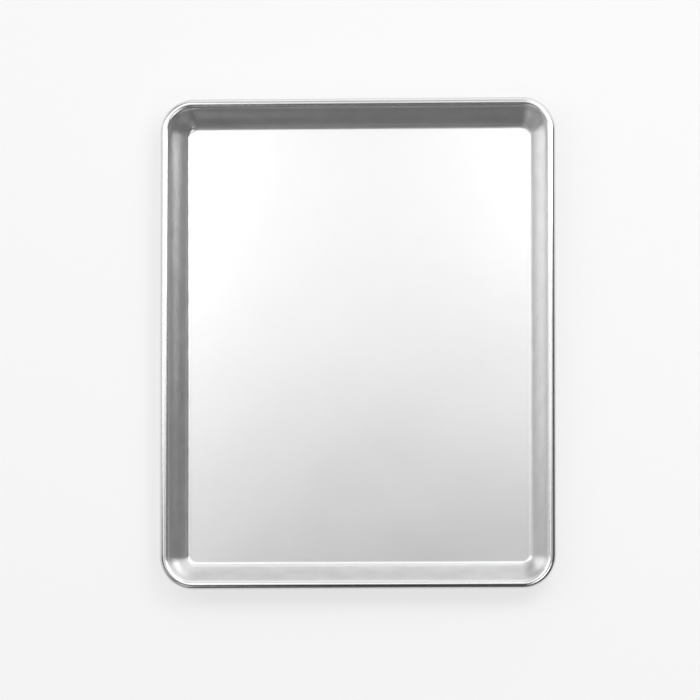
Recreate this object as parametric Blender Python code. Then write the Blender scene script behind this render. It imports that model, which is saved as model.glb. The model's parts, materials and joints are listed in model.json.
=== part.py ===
"""Sheet pan: one drawn aluminium sheet whose rim is rolled round a loop of steel wire.

The pan stands on the plane z = 0 with its centre on the z axis. Its short side runs along x
and its long side along y. All sizes are in metres.
"""

import math

import bmesh
import bpy

# Overall size, over the outside of the rolled rim
PAN_WIDTH = 0.3050
PAN_LENGTH = 0.3788
PAN_HEIGHT = 0.0254

# The sheet and how it is drawn
SHEET_THICKNESS = 0.0010
COVE_RADIUS = 0.0050  # inside radius between the floor and the wall
SHOULDER_RADIUS = 0.0046  # outside radius where the wall turns out into the rim
WALL_END_SLOPE = math.radians(56)  # the wall's slope where it meets the cove and the shoulder
WALL_PEAK_SLOPE = math.radians(66)  # its slope where it is steepest
WALL_SKEW = 1.5  # 1 is steepest half way up, more is higher
FLOOR_CORNER_RADIUS = 0.0050  # in plan, where the flat floor ends
RIM_CORNER_RADIUS = 0.0258  # in plan, at the outside of the rolled rim

# The wire and the curl that grips it
WIRE_DIAMETER = 0.0040
WIRE_CLEARANCE = 0.0003  # between the wire and the inside of the curl
WIRE_BUTT_GAP = 0.0010  # between the two cut ends of the wire
SEAM_GAP = 0.0004  # between the raw edge of the sheet and the wall it points at

# How finely the round stretches are divided
CORNER_STEPS = 12
COVE_STEPS = 6
WALL_STEPS = 7
CURL_FACET = math.radians(19)  # the widest turn of the curl between two edges
WIRE_SIDES_SETTING = 4  # Blender's bevel resolution, which gives 12 sides

# Sizes that follow from the ones above
WIRE_RADIUS = WIRE_DIAMETER / 2
CURL_RADIUS = WIRE_RADIUS + WIRE_CLEARANCE + SHEET_THICKNESS
CURL_CENTRE_IN = CURL_RADIUS  # from the outside of the rim in to the middle of the wire
CURL_CENTRE_Z = PAN_HEIGHT - CURL_RADIUS

ALUMINIUM_COLOUR = (0.78, 0.78, 0.785, 1.0)
STEEL_COLOUR = (0.55, 0.56, 0.57, 1.0)


def clear_scene():
    for old in list(bpy.data.objects):
        bpy.data.objects.remove(old, do_unlink=True)


def metal(name, colour, roughness):
    """A bare metal finish."""
    material = bpy.data.materials.new(name)
    material.use_nodes = True
    shader = material.node_tree.nodes["Principled BSDF"]
    shader.inputs["Base Color"].default_value = colour
    shader.inputs["Metallic"].default_value = 1.0
    shader.inputs["Roughness"].default_value = roughness
    return material


def ring_outline(inset, corner_radius):
    """A rounded rectangle seen from above, as (x, y) points, counter-clockwise.

    inset is how far it lies inside the outside of the rim.
    """
    centre_x = PAN_WIDTH / 2 - inset - corner_radius
    centre_y = PAN_LENGTH / 2 - inset - corner_radius
    points = []
    for quarter, (side_x, side_y) in enumerate(((1, 1), (-1, 1), (-1, -1), (1, -1))):
        for step in range(CORNER_STEPS + 1):
            turn = math.radians(90) * (quarter + step / CORNER_STEPS)
            x = side_x * centre_x + corner_radius * math.cos(turn)
            y = side_y * centre_y + corner_radius * math.sin(turn)
            points.append((x, y))
    return points


def turn_between(start, stop):
    """Evenly spaced leans from one to another, the first left out."""
    steps = math.ceil((start - stop) / CURL_FACET)
    return [start + (stop - start) * step / steps for step in range(1, steps + 1)]


def raw_edge_lean():
    """How far the sheet has turned at its raw edge, where it almost meets the wall again."""
    sheet_away = (SHOULDER_RADIUS - SHEET_THICKNESS
                  - (SHOULDER_RADIUS - CURL_RADIUS) * math.cos(WALL_END_SLOPE))
    left_open = math.acos((sheet_away - SEAM_GAP) / CURL_RADIUS)
    return WALL_END_SLOPE + left_open - math.radians(360)


def rim_skin():
    """The sheet's upper skin from the top of the wall over the rim to its raw edge.

    It passes level at the crown of the rim and upright at its outside, so that the overall
    sizes are exact. The shoulder on the tray's side is a wider arc than the curl.
    """
    crown, outside = 0.0, -math.radians(90)
    arcs = [(SHOULDER_RADIUS, lean) for lean in [WALL_END_SLOPE] + turn_between(WALL_END_SLOPE, crown)]
    arcs += [(CURL_RADIUS, lean) for lean in turn_between(crown, outside)]
    arcs += [(CURL_RADIUS, lean) for lean in turn_between(outside, raw_edge_lean())]
    skin = []
    for radius, lean in arcs:
        inset = CURL_CENTRE_IN + radius * math.sin(lean)
        height = PAN_HEIGHT - radius * (1 - math.cos(lean))
        skin.append((inset, height, RIM_CORNER_RADIUS - inset, lean))
    return skin


def wall_leans():
    """The wall's slope at the middle of each of its steps: a shallow S, steepest above its middle."""
    gain = WALL_PEAK_SLOPE - WALL_END_SLOPE
    shares = [(step + 0.5) / WALL_STEPS for step in range(WALL_STEPS)]
    return [WALL_END_SLOPE + gain * math.sin(math.pi * share**WALL_SKEW) for share in shares]


def food_side():
    """The sheet's upper skin from the flat floor to the raw edge under the rim.

    Each entry is (inset, height, corner radius, lean): lean is how far the sheet has turned
    from lying flat, so that its other skin lies one thickness off, outward and down.
    """
    rim = rim_skin()
    top_inset, top_height, top_radius, _ = rim[0]
    cove_run = COVE_RADIUS * math.sin(WALL_END_SLOPE)
    cove_rise = COVE_RADIUS * (1 - math.cos(WALL_END_SLOPE))
    leans = wall_leans()
    step_length = (top_height - SHEET_THICKNESS - cove_rise) / sum(map(math.sin, leans))
    foot_inset = top_inset + step_length * sum(map(math.cos, leans))
    foot_radius = FLOOR_CORNER_RADIUS + cove_run

    skin = []
    for step in range(COVE_STEPS + 1):
        lean = WALL_END_SLOPE * step / COVE_STEPS
        run = COVE_RADIUS * math.sin(lean)
        rise = COVE_RADIUS * (1 - math.cos(lean))
        skin.append((foot_inset + cove_run - run, SHEET_THICKNESS + rise, FLOOR_CORNER_RADIUS + run, lean))

    # Each station of the wall leans half way between the steps below and above it.
    inset, height = skin[-1][:2]
    for below, above in zip(leans, leans[1:]):
        inset -= step_length * math.cos(below)
        height += step_length * math.sin(below)
        share = (foot_inset - inset) / (foot_inset - top_inset)
        radius = foot_radius + (top_radius - foot_radius) * share
        skin.append((inset, height, radius, (below + above) / 2))
    return skin + rim


def under_side(skin):
    """The sheet's lower skin: each point of the upper one moved through the sheet."""
    moved = []
    for inset, height, corner_radius, lean in skin:
        outward = SHEET_THICKNESS * math.sin(lean)
        down = SHEET_THICKNESS * math.cos(lean)
        moved.append((inset - outward, height - down, corner_radius + outward, lean))
    return moved


def add_ring(mesh, inset, height, corner_radius):
    """One rounded rectangle of vertices joined by edges, and those edges."""
    corners = [mesh.verts.new((x, y, height)) for x, y in ring_outline(inset, corner_radius)]
    following = corners[1:] + corners[:1]
    return [mesh.edges.new(pair) for pair in zip(corners, following)]


def ring_face(mesh, ring):
    """Closes a ring of edges with one flat face."""
    bmesh.ops.contextual_create(mesh, geom=ring)


def build_pan():
    """The pressed body: a floor, coved walls, conical corners and the rolled rim, in one sheet."""
    upper = food_side()
    section = upper + under_side(upper)[::-1]

    mesh = bmesh.new()
    rings = [add_ring(mesh, *point[:3]) for point in section]
    for inner, outer in zip(rings, rings[1:]):
        bmesh.ops.bridge_loops(mesh, edges=inner + outer)
    ring_face(mesh, rings[0])
    ring_face(mesh, rings[-1])
    bmesh.ops.recalc_face_normals(mesh, faces=mesh.faces)

    data = bpy.data.meshes.new("pan")
    mesh.to_mesh(data)
    mesh.free()
    data.shade_smooth()
    data.set_sharp_from_angle(angle=math.radians(40))
    pan = bpy.data.objects.new("pan", data)
    bpy.context.collection.objects.link(pan)
    pan.data.materials.append(metal("bare_aluminium", ALUMINIUM_COLOUR, 0.33))
    return pan


def build_rim_wire():
    """The stiffening wire: one length bent round inside the curl, its ends butted at the -y side."""
    centre_line = ring_outline(CURL_CENTRE_IN, RIM_CORNER_RADIUS - CURL_CENTRE_IN)
    # The outline's third quarter ends at the start of the -y side, where the wire begins.
    first_right = 3 * (CORNER_STEPS + 1)
    side_y = -(PAN_LENGTH / 2 - CURL_CENTRE_IN)
    route = [(WIRE_BUTT_GAP / 2, side_y)]
    route += centre_line[first_right:] + centre_line[:first_right]
    route += [(-WIRE_BUTT_GAP / 2, side_y)]

    data = bpy.data.curves.new("rim_wire", "CURVE")
    data.dimensions = "3D"
    data.twist_mode = "Z_UP"
    data.bevel_depth = WIRE_RADIUS
    data.bevel_resolution = WIRE_SIDES_SETTING
    data.use_fill_caps = True
    spline = data.splines.new("POLY")
    spline.points.add(len(route) - 1)
    for point, (x, y) in zip(spline.points, route):
        point.co = (x, y, CURL_CENTRE_Z, 1.0)
    spline.use_smooth = True
    wire = bpy.data.objects.new("rim_wire", data)
    bpy.context.collection.objects.link(wire)
    wire.data.materials.append(metal("galvanised_steel", STEEL_COLOUR, 0.42))
    return wire


def main():
    clear_scene()
    build_pan()
    build_rim_wire()


main()
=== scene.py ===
# %% [markdown]
# # A sheet pan, from flat outlines to a satin finish
# A commercial baking pan is two pieces: one sheet of aluminium drawn into a shallow tray, and
# one loop of steel wire that the sheet's edge is rolled round. This notebook models both by
# operators, gives them their finishes, and lights them as a plain studio would.
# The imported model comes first. It fixes where everything is, and nothing here moves it.

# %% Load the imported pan
import json
import math

import bpy
from mathutils import Matrix, Vector

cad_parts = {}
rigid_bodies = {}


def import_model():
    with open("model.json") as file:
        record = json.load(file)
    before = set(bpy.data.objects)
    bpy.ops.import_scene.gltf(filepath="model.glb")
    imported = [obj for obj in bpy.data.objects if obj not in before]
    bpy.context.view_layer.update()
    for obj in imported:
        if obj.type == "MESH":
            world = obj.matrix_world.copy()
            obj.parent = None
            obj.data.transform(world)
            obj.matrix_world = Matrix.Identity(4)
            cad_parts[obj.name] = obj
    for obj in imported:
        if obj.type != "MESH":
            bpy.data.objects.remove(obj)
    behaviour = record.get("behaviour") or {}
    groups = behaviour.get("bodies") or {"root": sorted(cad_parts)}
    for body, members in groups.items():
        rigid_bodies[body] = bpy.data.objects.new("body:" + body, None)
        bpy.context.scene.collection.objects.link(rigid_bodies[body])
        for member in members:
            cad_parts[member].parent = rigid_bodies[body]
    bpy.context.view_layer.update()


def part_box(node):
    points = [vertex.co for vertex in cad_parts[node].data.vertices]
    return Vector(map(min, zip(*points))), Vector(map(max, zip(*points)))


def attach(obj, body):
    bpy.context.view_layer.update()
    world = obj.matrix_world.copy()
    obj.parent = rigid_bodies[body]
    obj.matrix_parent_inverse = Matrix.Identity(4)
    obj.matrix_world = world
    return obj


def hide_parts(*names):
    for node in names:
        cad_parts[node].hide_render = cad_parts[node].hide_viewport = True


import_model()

pan_low, pan_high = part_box("pan")


def in_mm(lengths):
    """Lengths in metres as millimetres, rounded for printing."""
    return [round(1000 * length, 2) for length in lengths]


print("packed pan, mm:", in_mm(pan_high - pan_low))

# %% [markdown]
# ## The sizes that shape the sheet
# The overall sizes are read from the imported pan, so the dressed pan can't drift from it. The
# rest is what a press shop would set: the sheet's thickness, the radius of the cove between
# floor and wall, the slope of the wall, the wider radius of the shoulder where the wall turns
# out into the rim, and the wire that the rim is rolled round.

# %% Sizes in metres
PAN_WIDTH = pan_high.x - pan_low.x
PAN_LENGTH = pan_high.y - pan_low.y
RIM_TOP = pan_high.z
SHEET = 0.0010
COVE_RADIUS = 0.0050  # inside radius between the floor and the wall
SHOULDER_RADIUS = 0.0046  # outside radius where the wall turns out into the rim
WALL_END_SLOPE = math.radians(56)  # where the wall meets the cove and the shoulder
WALL_PEAK_SLOPE = math.radians(66)  # where the wall is steepest
FLOOR_CORNER_RADIUS = 0.0050  # in plan, where the flat floor ends
RIM_CORNER_RADIUS = 0.0258  # in plan, at the outside of the rim
WIRE_RADIUS = 0.0020
WIRE_CLEARANCE = 0.0003  # between the wire and the inside of the curl
WIRE_BUTT_GAP = 0.0010  # between the two cut ends of the wire
SEAM_GAP = 0.0004  # between the raw edge of the sheet and the wall that it points at

CURL_RADIUS = WIRE_RADIUS + WIRE_CLEARANCE + SHEET
WIRE_IN = CURL_RADIUS  # from the outside of the rim in to the middle of the wire
WIRE_HEIGHT = RIM_TOP - CURL_RADIUS

# %% [markdown]
# ## The section, as a list of stations
# Cut the rim across and the sheet is one line: flat, up a cove, along the wall, over the
# shoulder and round the wire until the raw edge almost meets the wall again. Each station on
# that line says how far in it lies, how high, and how round the pan's corners are there. The
# list could be typed in point by point. Arcs take fewer numbers, and a press tool is drawn with
# them too. The rim comes first: a wide arc over the shoulder, and a narrow one round the wire.

# %% Work out the rim
CURL_FACET = math.radians(9)  # the widest turn between two stations


def arc_reach(radius, lean):
    """How far an arc that starts level has run and risen where it leans by this much."""
    return radius * math.sin(lean), radius * (1 - math.cos(lean))


def turned(start, stop):
    """Evenly spaced leans from one to another, the first left out."""
    steps = math.ceil((start - stop) / CURL_FACET)
    return [start + (stop - start) * step / steps for step in range(1, steps + 1)]


def rim_station(radius, lean):
    """A station on an arc whose top is the crown of the rim: inset, height, corner radius."""
    run, drop = arc_reach(radius, lean)
    inset = WIRE_IN + run
    return inset, RIM_TOP - drop, RIM_CORNER_RADIUS - inset


shoulder_leans = [WALL_END_SLOPE] + turned(WALL_END_SLOPE, 0)
shoulder = [rim_station(SHOULDER_RADIUS, lean) for lean in shoulder_leans]

# Measured square to the wall: how far apart the two arcs' middles are, and how far from the
# middle of the wire the raw edge may reach back towards the wall.
centres_apart = (SHOULDER_RADIUS - CURL_RADIUS) * math.cos(WALL_END_SLOPE)
edge_reach = SHOULDER_RADIUS - centres_apart - SHEET - SEAM_GAP
raw_edge = WALL_END_SLOPE + math.acos(edge_reach / CURL_RADIUS) - math.radians(360)
outermost = -math.radians(90)
curl_leans = turned(0, outermost) + turned(outermost, raw_edge)
curl = [rim_station(CURL_RADIUS, lean) for lean in curl_leans]
print(len(shoulder), "stations on the shoulder and", len(curl), "round the wire")

# %% [markdown]
# ## Down the wall to the floor
# The rim fixes where the wall has to end, and the thickness of the sheet where the cove starts.
# In between, the wall takes equal steps, each with its own slope, and a step has the length that
# makes them meet the rim exactly. A straight wall would be simpler, but a real one springs back
# from the press into a shallow S, steepest above its middle, and that bend is what puts the soft
# lighter band along it.

# %% Work out the wall and the cove
COVE_STEPS = 10
WALL_STEPS = 14
WALL_SKEW = 1.5  # 1 is steepest half way up, and more is higher


def wall_leans():
    """The wall's slope at the middle of each of its steps, from the cove to the shoulder."""
    gain = WALL_PEAK_SLOPE - WALL_END_SLOPE
    shares = [(step + 0.5) / WALL_STEPS for step in range(WALL_STEPS)]
    return [WALL_END_SLOPE + gain * math.sin(math.pi * share**WALL_SKEW) for share in shares]


cove_run, cove_rise = arc_reach(COVE_RADIUS, WALL_END_SLOPE)
top_in, top_height, top_round = shoulder[0]
leans = wall_leans()
step_length = (top_height - SHEET - cove_rise) / sum(math.sin(lean) for lean in leans)
foot_in = top_in + step_length * sum(math.cos(lean) for lean in leans)
foot_round = FLOOR_CORNER_RADIUS + cove_run
FLOOR_IN = foot_in + cove_run

cove = []
for step in range(COVE_STEPS + 1):
    run, rise = arc_reach(COVE_RADIUS, WALL_END_SLOPE * step / COVE_STEPS)
    cove.append((FLOOR_IN - run, SHEET + rise, FLOOR_CORNER_RADIUS + run))

wall = []
inset, height, _ = cove[-1]
for lean in leans[:-1]:
    inset -= step_length * math.cos(lean)
    height += step_length * math.sin(lean)
    share = (foot_in - inset) / (foot_in - top_in)
    wall.append((inset, height, foot_round + (top_round - foot_round) * share))

print(len(cove), "stations in the cove and", len(wall), "on the wall")
print(f"the wall's foot is {1000 * foot_in:.2f} mm in, the flat floor {1000 * FLOOR_IN:.2f} mm")

# %% [markdown]
# ## One outline for each station
# The section could be swept round the rim as a curve, but a sweep keeps its corners' radius,
# and here it grows from the floor to the rim. So each station gets an outline of its own. A
# rounded rectangle is a plane whose four corners have been bevelled: in edit mode the plane is
# stretched to size and its corners are rounded as vertices. A vertex group keeps hold of each
# one, because the next step has to find it again. Then all the faces are thrown away, so that
# only the rings of edges are left. A second group, slack, says how freely the sheet may wander:
# the floor and the wall of a pressed pan are never dead flat, while the rim is held by its wire.

# %% Draw the outlines
CORNER_SEGMENTS = 24
FLOOR_MARGIN = 0.0008  # from the start of the cove in to the edge of the floor's one face


def start_mesh(name):
    """A new empty mesh object, in edit mode, with nothing else selected."""
    bpy.ops.object.select_all(action="DESELECT")
    bpy.ops.mesh.primitive_plane_add(size=1)
    piece = bpy.context.object
    piece.name = piece.data.name = name
    bpy.ops.object.mode_set(mode="EDIT")
    bpy.ops.mesh.select_mode(type="VERT")
    bpy.ops.mesh.select_all(action="SELECT")
    bpy.ops.mesh.delete(type="VERT")
    return piece


def add_outline(inset, height, corner_radius):
    """Adds a plane with rounded corners to the mesh being edited, and leaves it selected."""
    bpy.ops.mesh.select_all(action="DESELECT")
    bpy.ops.mesh.primitive_plane_add(size=1, location=(0, 0, height))
    stretch = (PAN_WIDTH - 2 * inset, PAN_LENGTH - 2 * inset, 1)
    bpy.ops.transform.resize(value=stretch, center_override=(0, 0, height))
    bpy.ops.mesh.bevel(
        offset=corner_radius, segments=CORNER_SEGMENTS, affect="VERTICES",
        profile=0.5, offset_type="OFFSET",
    )
    bpy.ops.mesh.select_linked()


def keep_in_group(piece, name, weight=1.0):
    """Puts the selected vertices in a vertex group, which is made if it isn't there."""
    bpy.context.scene.tool_settings.vertex_group_weight = weight
    if name in piece.vertex_groups:
        piece.vertex_groups.active = piece.vertex_groups[name]
        bpy.ops.object.vertex_group_assign()
    else:
        bpy.ops.object.vertex_group_assign_new()
        piece.vertex_groups.active.name = name


pan = start_mesh("sheet_pan_body")
floor_edge = (FLOOR_IN + FLOOR_MARGIN, SHEET, FLOOR_CORNER_RADIUS - FLOOR_MARGIN)
rings = [floor_edge] + cove + wall + shoulder + curl
for number, station in enumerate(rings):
    add_outline(*station)
    keep_in_group(pan, f"ring_{number}")
    up_the_wall = (number - len(cove)) / len(wall)
    keep_in_group(pan, "slack", weight=min(1.0, max(0.0, 1 - up_the_wall)))
bpy.ops.mesh.select_all(action="SELECT")
bpy.ops.mesh.delete(type="ONLY_FACE")
print(len(rings), "outlines drawn")

# %% [markdown]
# ## Bridge the outlines into one skin
# Each ring is joined to the next by a band of faces. Because every ring was made the same way,
# the bands run straight across and the four corners come out as true lofted cones. The floor
# is one face inside the first ring. It lies a little in from where the cove starts, so that
# smooth shading can't bleed the cove's curve into the flat floor.

# %% Bridge and close the floor


def select_groups(piece, *names):
    """Selects the vertices of the named groups, and nothing else."""
    bpy.ops.mesh.select_all(action="DESELECT")
    for name in names:
        piece.vertex_groups.active = piece.vertex_groups[name]
        bpy.ops.object.vertex_group_select()


for number in range(len(rings) - 1):
    select_groups(pan, f"ring_{number}", f"ring_{number + 1}")
    bpy.ops.mesh.bridge_edge_loops()
select_groups(pan, "ring_0")
bpy.ops.mesh.edge_face_add()
bpy.ops.mesh.select_all(action="SELECT")
bpy.ops.mesh.normals_make_consistent(inside=False)
bpy.ops.object.mode_set(mode="OBJECT")
print("skin:", len(pan.data.vertices), "vertices and", len(pan.data.polygons), "faces")

# %% [markdown]
# ## Cut a grid into it
# So far the long sides are single faces from corner to corner, and a face that long can't bend.
# Subdividing would split the corners too, which are fine enough. The bisect tool cuts straight
# through everything selected, so a row of cuts each way gives the floor its grid and the walls
# and rim their divisions at one stroke.

# %% Bisect along both directions
GRID_STEP = 0.012


def cut_places(half_span):
    """Even places on both sides of the centre, within the straight part of a side."""
    count = math.floor((half_span - RIM_CORNER_RADIUS) / GRID_STEP)
    return [GRID_STEP * number for number in range(-count, count + 1)]


bpy.ops.object.mode_set(mode="EDIT")
for axis, half_span in (((1, 0, 0), PAN_WIDTH / 2), ((0, 1, 0), PAN_LENGTH / 2)):
    for place in cut_places(half_span):
        bpy.ops.mesh.select_all(action="SELECT")
        bpy.ops.mesh.bisect(plane_co=[place * part for part in axis], plane_no=axis)
bpy.ops.object.mode_set(mode="OBJECT")
print("after the cuts:", len(pan.data.polygons), "faces")

# %% [markdown]
# ## Let the sheet wander a little
# A pressed sheet keeps the memory of its blank: the floor rises and falls by a fraction of a
# millimetre over a hand's width, which is what makes its reflections swim. A brush in sculpt
# mode could do it, but not twice in the same way. The Displace modifier moves the skin along
# its normals by a soft cloud texture. It only pushes inward, so the pan never grows past the
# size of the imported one. The Solidify modifier then gives the skin the thickness of the sheet,
# and a fine bevel breaks the raw edge.

# %% Displace the skin and give it its thickness
WANDER_HEIGHT = 0.00030
WANDER_LENGTH = 0.085
EDGE_ROUNDING = 0.00015
RAW_EDGE_ANGLE = math.radians(60)  # an edge as sharp as this is bevelled
CREASE_ANGLE = math.radians(40)  # an edge less sharp than this is shaded smooth


def add_modifier(piece, kind, **settings):
    """Adds a modifier to a piece, sets it up and applies it."""
    bpy.ops.object.select_all(action="DESELECT")
    piece.select_set(True)
    bpy.context.view_layer.objects.active = piece
    bpy.ops.object.modifier_add(type=kind)
    modifier = piece.modifiers[-1]
    for name, value in settings.items():
        setattr(modifier, name, value)
    bpy.ops.object.modifier_apply(modifier=modifier.name)


wander = bpy.data.textures.new("sheet_wander", type="CLOUDS")
wander.noise_scale = WANDER_LENGTH
wander.noise_depth = 1
add_modifier(
    pan, "DISPLACE", texture=wander, texture_coords="LOCAL", direction="NORMAL",
    mid_level=0.0, strength=WANDER_HEIGHT, vertex_group="slack",
)
add_modifier(
    pan, "SOLIDIFY", thickness=SHEET, offset=-1.0, use_even_offset=True, use_quality_normals=True,
)
add_modifier(
    pan, "BEVEL", width=EDGE_ROUNDING, segments=2, limit_method="ANGLE", angle_limit=RAW_EDGE_ANGLE,
)
pan.vertex_groups.clear()
bpy.ops.object.shade_smooth_by_angle(angle=CREASE_ANGLE)
print("sheet:", len(pan.data.polygons), "faces, mm:", in_mm(pan.dimensions))

# %% [markdown]
# ## The wire in the rim
# The wire is one steel rod bent into a rounded rectangle with its two cut ends butted together.
# The same outline helper draws its middle line. A short piece is cut out for the butt joint,
# and the line becomes a curve, because a curve with a round bevel is the simplest true rod.

# %% Bend the wire
WIRE_SIDES_SETTING = 8  # Blender's bevel resolution, which gives 20 sides

wire = start_mesh("rim_wire_loop")
add_outline(WIRE_IN, WIRE_HEIGHT, RIM_CORNER_RADIUS - WIRE_IN)
bpy.ops.mesh.delete(type="ONLY_FACE")
for side in (-1, 1):
    bpy.ops.mesh.select_all(action="SELECT")
    bpy.ops.mesh.bisect(plane_co=(side * WIRE_BUTT_GAP / 2, 0, 0), plane_no=(1, 0, 0))
bpy.ops.mesh.select_all(action="DESELECT")
bpy.ops.object.mode_set(mode="OBJECT")
for edge in wire.data.edges:
    ends = [wire.data.vertices[corner].co for corner in edge.vertices]
    edge.select = all(abs(end.x) < WIRE_BUTT_GAP and end.y < 0 for end in ends)
bpy.ops.object.mode_set(mode="EDIT")
bpy.ops.mesh.select_mode(type="EDGE")
bpy.ops.mesh.delete(type="EDGE")
bpy.ops.object.mode_set(mode="OBJECT")
bpy.ops.object.convert(target="CURVE")
wire = bpy.context.object
wire.data.bevel_depth = WIRE_RADIUS
wire.data.bevel_resolution = WIRE_SIDES_SETTING
wire.data.use_fill_caps = True
bpy.ops.object.convert(target="MESH")
wire = bpy.context.object
bpy.ops.object.shade_smooth_by_angle(angle=CREASE_ANGLE)
print("wire:", len(wire.data.polygons), "faces, mm:", in_mm(wire.dimensions))

# %% [markdown]
# ## Short helpers for shader nodes
# A finish in Blender is a tree of nodes joined by links. It can be wired up by hand in the
# shader editor, but a reader of this file would never see how. So each kind of node that the
# finishes need has a short function here, which takes what goes into the node and gives back
# the socket that comes out of it. Whatever goes in is a plain value or the socket of another
# node. A finish then reads from top to bottom like a sum.

# %% Add nodes and feed them
NOISE_LOW, NOISE_HIGH = 0.3, 0.7  # nearly all of a noise lies between these
NOISE_DETAIL = 3.0


def new_material(name):
    """A new material, its node tree and its main shader."""
    material = bpy.data.materials.new(name)
    material.use_nodes = True
    return material, material.node_tree, material.node_tree.nodes["Principled BSDF"]


def feed(tree, node, inputs):
    """Gives the node's inputs their values, and links those that get a socket."""
    for name, value in inputs.items():
        if isinstance(value, bpy.types.NodeSocket):
            tree.links.new(value, node.inputs[name])
        else:
            node.inputs[name].default_value = value


def add_node(tree, kind, inputs, **settings):
    """Adds a shader node, sets it up and feeds it."""
    node = tree.nodes.new("ShaderNode" + kind)
    for name, value in settings.items():
        setattr(node, name, value)
    feed(tree, node, inputs)
    return node


def noise(tree, place, scale, detail=NOISE_DETAIL):
    """A cloudy value that changes from place to place, with this many clouds to the metre."""
    inputs = {"Vector": place, "Scale": scale, "Detail": detail}
    return add_node(tree, "TexNoise", inputs).outputs["Fac"]


def ranged(tree, value, low, high, low_in=NOISE_LOW, high_in=NOISE_HIGH, fade="LINEAR"):
    """The value, taken from one range to another and held at its ends."""
    inputs = {"Value": value, "From Min": low_in, "From Max": high_in, "To Min": low, "To Max": high}
    return add_node(tree, "MapRange", inputs, interpolation_type=fade).outputs["Result"]


def mixed(tree, share, first, second, kind="FLOAT"):
    """A blend of two values, or of two colours: the first where the share is 0."""
    inputs = {"Factor": share, "A": first, "B": second}
    return add_node(tree, "Mix", inputs, data_type=kind).outputs["Result"]


def bump(tree, height, distance, **others):
    """The direction of a surface with this relief. Others: its Strength, a Normal under it."""
    inputs = {"Height": height, "Distance": distance, **others}
    return add_node(tree, "Bump", inputs).outputs["Normal"]


def folded(tree, operation, values):
    """A list of values taken together, two at a time, by one operation."""
    total = values[0]
    for value in values[1:]:
        total = add_node(tree, "Math", {0: total, 1: value}, operation=operation).outputs["Value"]
    return total


def vector_step(tree, operation, first, second=(0, 0, 0)):
    """One step of vector arithmetic. Operations on one vector ignore the second."""
    node = add_node(tree, "VectorMath", {0: first, 1: second}, operation=operation)
    return node.outputs["Value" if operation in ("LENGTH", "DOT_PRODUCT") else "Vector"]


def tinted(colour, amount):
    """A colour made darker or lighter."""
    return [amount * part for part in colour[:3]] + [1.0]


# %% [markdown]
# ## Satin aluminium
# Bare aluminium that has been rolled, pressed and washed is neither mirror nor matt. It is a
# pale metal with a moderate roughness, a fine grain along the direction in which the sheet was
# rolled, and cloudy patches where it is a shade duller. An anisotropic shader could draw out the
# reflections as grain does, but it shows no lines from close by. Here the grain is a noise
# squeezed sixty times thinner across the pan than along it, read on Object coordinates so that
# it runs over the floor and on up the walls, as it does on a sheet that was flat when it was
# rolled. The wheels that roll the rim also burnish it, so it is shinier than the rest. The
# walls, where the press drags the sheet most, are worn in patches that are a shade duller and a
# hair lower, and these mottle what the walls mirror. The shader finds the rim and the walls by
# how far in from the pan's outline a point lies, worked out as for a rounded rectangle.

# %% Mix the aluminium
ALUMINIUM = (0.78, 0.78, 0.785, 1.0)
SHEET_ROUGHNESS = (0.28, 0.30)
RIM_ROUGHNESS = 0.17
BURNISH_FADE = 0.003  # from the crown of the rim in to where the burnish ends
CLOUD_SCALE = 22.0
GRAIN_SCALE = 2600.0
GRAIN_DETAIL = 2.0
GRAIN_STRETCH = 60.0
GRAIN_HEIGHT = 0.0000010
WEAR_SCALE = 80.0
LEAST_WEAR = 0.10  # how much of the wear the floor and the rim have
WEAR_START = 0.004  # from the edge of the flat floor out to where the wear is full
WEAR_END = (-0.001, 0.002)  # from the start of the shoulder to where the fading starts and stops
DENT_HEIGHT = 0.00035  # only the light sees it, because a bump moves no vertices
EVEN_SHADE = 0.5  # of metal that isn't worn, from 0 for dull to 1 for bright
DULL, BRIGHT = 0.95, 1.04  # the darkest and lightest shade, as shares of the metal's colour


def past_corner_centre(tree, place):
    """How far out a point lies from the centre line of the rim's rounded corners."""
    centre = (PAN_WIDTH / 2 - RIM_CORNER_RADIUS, PAN_LENGTH / 2 - RIM_CORNER_RADIUS, 1.0)
    past = vector_step(tree, "ABSOLUTE", place)
    past = vector_step(tree, "SUBTRACT", past, centre)
    past = vector_step(tree, "MAXIMUM", past, (0, 0, 0))
    return vector_step(tree, "LENGTH", past)


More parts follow.
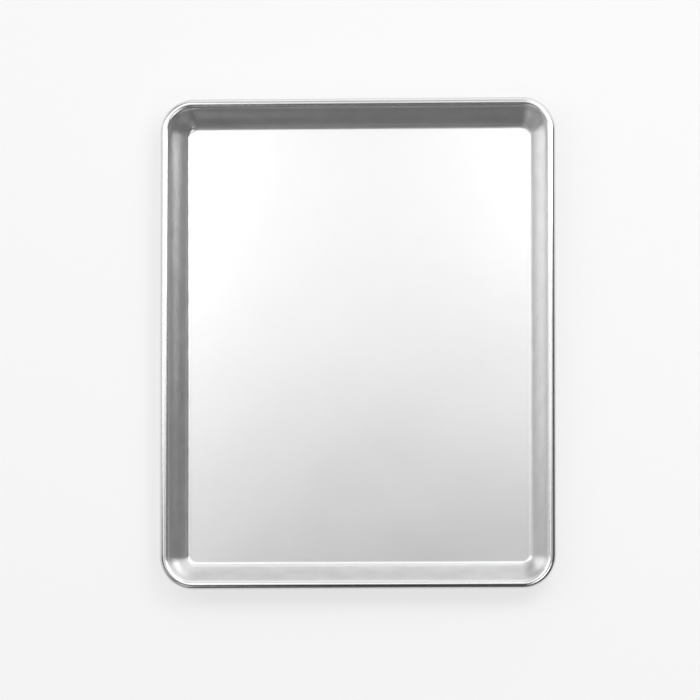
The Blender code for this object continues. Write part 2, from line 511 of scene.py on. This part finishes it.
def satin_aluminium():
    """Worn walls, a burnished rim and a rolling grain on one pale metal."""
    material, tree, shader = new_material("satin_aluminium")
    place = add_node(tree, "TexCoord", {}).outputs["Object"]
    past = past_corner_centre(tree, place)
    floor_end = RIM_CORNER_RADIUS - FLOOR_IN
    crown = RIM_CORNER_RADIUS - WIRE_IN
    shoulder_start = crown - SHOULDER_RADIUS

    from_floor = ranged(tree, past, LEAST_WEAR, 1.0, floor_end, floor_end + WEAR_START)
    to_rim = ranged(tree, past, 1.0, LEAST_WEAR, *(shoulder_start + end for end in WEAR_END))
    on_walls = folded(tree, "MINIMUM", [from_floor, to_rim])
    wear = noise(tree, place, WEAR_SCALE)
    shade = mixed(tree, on_walls, EVEN_SHADE, ranged(tree, wear, 0.0, 1.0))
    tone = mixed(tree, shade, tinted(ALUMINIUM, DULL), tinted(ALUMINIUM, BRIGHT), kind="RGBA")

    clouds = noise(tree, place, CLOUD_SCALE)
    on_rim = ranged(tree, past, 0.0, 1.0, crown - BURNISH_FADE, crown)
    roughness = mixed(tree, on_rim, ranged(tree, clouds, *SHEET_ROUGHNESS), RIM_ROUGHNESS)

    swim = bump(tree, wear, DENT_HEIGHT, Strength=on_walls)
    lengthwise = (1.0, 1 / GRAIN_STRETCH, 1 / GRAIN_STRETCH)
    drawn_out = add_node(tree, "Mapping", {"Vector": place, "Scale": lengthwise}).outputs["Vector"]
    grain = noise(tree, drawn_out, GRAIN_SCALE, GRAIN_DETAIL)
    relief = bump(tree, grain, GRAIN_HEIGHT, Normal=swim)
    feed(tree, shader, {"Metallic": 1.0, "Base Color": tone, "Roughness": roughness, "Normal": relief})
    return material


pan.data.materials.clear()
pan.data.materials.append(satin_aluminium())
print("finish of the sheet:", pan.data.materials[0].name)

# %% [markdown]
# ## Galvanised steel
# The wire is dipped in zinc, which leaves it a duller, bluer grey than the sheet, with blotches
# where the zinc lies thicker. Nobody sees it on a finished pan, but it is there in the part. One
# noise could drive the colour alone. It drives the roughness and the relief too, because a
# thicker patch of zinc differs in all three.

# %% Mix the steel
GALVANISED = (0.55, 0.56, 0.57, 1.0)
THIN_ZINC = 0.8  # its shade, as a share of the full colour
ZINC_ROUGHNESS = (0.38, 0.52)
ZINC_HEIGHT = 0.00001
BLOTCH_SCALE = 300.0


def galvanised_steel():
    """A grey metal with blotches of thicker zinc."""
    material, tree, shader = new_material("galvanised_steel")
    place = add_node(tree, "TexCoord", {}).outputs["Object"]
    blotches = noise(tree, place, BLOTCH_SCALE)
    tone = mixed(tree, blotches, tinted(GALVANISED, THIN_ZINC), GALVANISED, kind="RGBA")
    roughness = ranged(tree, blotches, *ZINC_ROUGHNESS)
    relief = bump(tree, blotches, ZINC_HEIGHT)
    feed(tree, shader, {"Metallic": 1.0, "Base Color": tone, "Roughness": roughness, "Normal": relief})
    return material


wire.data.materials.clear()
wire.data.materials.append(galvanised_steel())
print("finish of the wire:", wire.data.materials[0].name)

# %% [markdown]
# ## Put the pieces on the imported frame
# The imported model has each piece as a plain solid on a body. A dressed piece takes that solid's
# place, which is hidden, and rides on the same body. Nothing on a pan moves, so both ride on the
# root.

# %% Replace and ride
for piece, node, slot in ((pan, "pan", "pan_aluminium"), (wire, "rim_wire", "wire_steel")):
    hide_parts(node)
    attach(piece, "root")
    print(piece.name, "replaces", node)

# %% [markdown]
# ## The floor of the studio
# The pan lies on white paper, and the picture wants that paper as white as the page it will be
# printed on. Lighting it until it clips would wash out the metal. Instead a part of the paper's
# white is its own, more of it for the camera and less for whatever mirrors the paper. The rest
# is ordinary paint that the lamps light, which is what keeps the pan's soft shadow.

# %% Lay the floor
FLOOR_SIZE = 40.0
FLOOR_DROP = 0.0002  # below the underside of the pan, so that the two never share a plane
FLOOR_WHITE = (0.93, 0.93, 0.93, 1.0)
FLOOR_ROUGHNESS = 0.9
FLOOR_SHINE = 0.1
OWN_WHITE = {"Is Camera Ray": 0.65, "Is Glossy Ray": 0.4, "Is Transmission Ray": 0.4}


def white_paper():
    """Matt paint whose white is partly its own."""
    material, tree, paint = new_material("white_paper")
    matt = {"Base Color": FLOOR_WHITE, "Roughness": FLOOR_ROUGHNESS, "Specular IOR Level": FLOOR_SHINE}
    feed(tree, paint, matt)
    rays = add_node(tree, "LightPath", {}).outputs
    shares = [ranged(tree, rays[kind], 0.0, share, 0.0, 1.0) for kind, share in OWN_WHITE.items()]
    glow = add_node(tree, "Emission", {"Strength": 1.0}).outputs["Emission"]
    mix = {"Fac": folded(tree, "MAXIMUM", shares), 1: paint.outputs["BSDF"], 2: glow}
    surface = add_node(tree, "MixShader", mix).outputs["Shader"]
    feed(tree, tree.nodes["Material Output"], {"Surface": surface})
    return material


bpy.ops.object.select_all(action="DESELECT")
bpy.ops.mesh.primitive_plane_add(size=FLOOR_SIZE, location=(0, 0, -FLOOR_DROP))
floor = bpy.context.object
floor.name = "studio_floor"
floor.data.materials.append(white_paper())
print("the floor lies at", in_mm([floor.location.z]), "mm")

# %% [markdown]
# ## The camera
# The photo looks taken from far back with a long lens, almost straight above, because the floor
# and the rim show hardly any perspective. The left and far walls look a little wider than the
# other two, which puts the camera four or five degrees off the vertical, towards the pan's right
# and near sides. It could be moved by eye until the outlines match. Here the width of the rim in
# the photo and the place of its middle, in pixels, give the lens and the aim by arithmetic.

# %% Place the camera
CAMERA_DISTANCE = 6.0
TILT_RIGHT = math.radians(3.8)
TILT_NEAR = math.radians(4.9)
SENSOR_WIDTH = 36.0
FRAME_PIXELS = 700
RIM_WIDTH_PIXELS = 396.46
RIM_CENTRE_PIXELS = (357.7, 343.0)  # from the left and from the top

back = Vector((math.tan(TILT_RIGHT), -math.tan(TILT_NEAR), 1.0)).normalized()
far_side = Vector((0, 1, 0))
up = (far_side - far_side.dot(back) * back).normalized()
right = up.cross(back)
turn = Matrix((right, up, back)).transposed()
per_pixel = PAN_WIDTH / RIM_WIDTH_PIXELS
aim = Vector((0, 0, WIRE_HEIGHT)) - right * per_pixel * (RIM_CENTRE_PIXELS[0] - FRAME_PIXELS / 2)
aim = aim + up * per_pixel * (RIM_CENTRE_PIXELS[1] - FRAME_PIXELS / 2)

bpy.ops.object.select_all(action="DESELECT")
bpy.ops.object.camera_add(location=aim + back * CAMERA_DISTANCE, rotation=turn.to_euler())
camera = bpy.context.object
camera.data.sensor_width = SENSOR_WIDTH
camera.data.lens = SENSOR_WIDTH * CAMERA_DISTANCE / (per_pixel * FRAME_PIXELS)
bpy.context.scene.camera = camera
print(f"lens {camera.data.lens:.0f} mm at {CAMERA_DISTANCE} m")

# %% [markdown]
# ## The light of the room
# Bent metal shows the room round it, so the walls of the pan are as light or dark as the part
# of the studio they mirror. A photographed room could stand round it, but then no tone could be
# set by itself. Here the room is dark to start with, and broad soft patches brighten it in three
# rows, one above the other. Each patch fades out smoothly, and the world is their sum.
# A row has its height above the horizon and the half width of its patches. It then lists their
# strengths by direction, from 0 at the pan's right through 90 at its far side. The three angles
# are in degrees.

# %% Light the room
ROOM_ROWS = (
    (3, 35, {0: 0.2, 45: 1.25, 90: 0.75, 135: 0.8, 180: 0.75}),
    (25, 38, {90: 0.55, 225: 0.35, 270: 0.1, 315: 0.1}),
    (50, 42, {60: 0.4, 120: 0.1}),
)
WHITE = (1.0, 1.0, 1.0, 1.0)


def direction(azimuth, elevation):
    """The unit vector that points at a place in the room, its angles in degrees."""
    turned_by = math.radians(azimuth)
    lifted_by = math.radians(elevation)
    level = math.cos(lifted_by)
    return level * math.cos(turned_by), level * math.sin(turned_by), math.sin(lifted_by)


world = bpy.data.worlds.new("studio")
bpy.context.scene.world = world
world.use_nodes = True
sky = world.node_tree
outward = add_node(sky, "TexCoord", {}).outputs["Generated"]
patches = []
for elevation, half_width, strengths in ROOM_ROWS:
    edge = math.cos(math.radians(half_width))
    for azimuth, strength in strengths.items():
        facing = vector_step(sky, "DOT_PRODUCT", outward, direction(azimuth, elevation))
        patches.append(ranged(sky, facing, 0.0, strength, edge, 1.0, fade="SMOOTHERSTEP"))
feed(sky, sky.nodes["Background"], {"Color": WHITE, "Strength": folded(sky, "ADD", patches)})
print(len(patches), "soft patches in the room")

# %% [markdown]
# ## The softboxes overhead
# The flat floor of the pan mirrors what hangs above it. Three long softboxes hang there side by
# side, face down, the two towards the far side bright and the near one dim, which is why the
# floor runs from white at the far side to pale grey in front. The others round them reach the
# walls and the rim. One large lamp would be simpler, but every part of the pan would then be
# equally bright. Where two lamps overlap, they hang a centimetre apart, since a mirror sees only
# one of two lamps at the same height. A lamp's power is its brightness times its area times pi,
# so each softbox has its brightness, in which one is white, and the power follows from it.

# %% Hang the softboxes
# Width, length and height above the table, in metres
LONG_BOX = (1.0, 0.25, 1.21)
WIDE_BOX = (0.75, 1.0, 1.21)
OUTER_BOX = (1.0, 0.5, 1.22)
SQUARE_BOX = (0.5, 0.5, 1.20)
# Each kind with its places: to the right, to the far side, brightness
SOFTBOXES = (
    (LONG_BOX, ((0, -0.125, 0.35), (0, 0.125, 1.05), (0, 0.375, 1.0))),
    (WIDE_BOX, ((-1.15, 0.5, 1.4),)),
    (OUTER_BOX, ((-1.75, 0.25, 1.0), (-1.75, 0.75, 1.7), (1.75, 0.75, 1.2))),
    (SQUARE_BOX, (
        (-0.5, -1.0, 1.0), (0.5, -1.0, 0.6), (-1.0, -0.5, 0.5), (0.5, -0.5, 2.5), (-0.5, 0, 0.8),
        (-0.5, 0.5, 1.4), (0.5, 0.5, 5.2), (1.0, 0.5, 3.1), (-0.5, 1.0, 0.3), (0.5, 1.0, 1.5),
    )),
)

for (wide, long, height), places in SOFTBOXES:
    for x, y, brightness in places:
        bpy.ops.object.light_add(type="AREA", location=(x, y, height))
        lamp = bpy.context.object
        lamp.name = "softbox"
        lamp.data.shape = "RECTANGLE"
        lamp.data.size = wide
        lamp.data.size_y = long
        lamp.data.energy = math.pi * wide * long * brightness
print(sum(len(places) for _, places in SOFTBOXES), "softboxes overhead")

# Shows each colour as it is written
bpy.context.scene.view_settings.view_transform = "Standard"
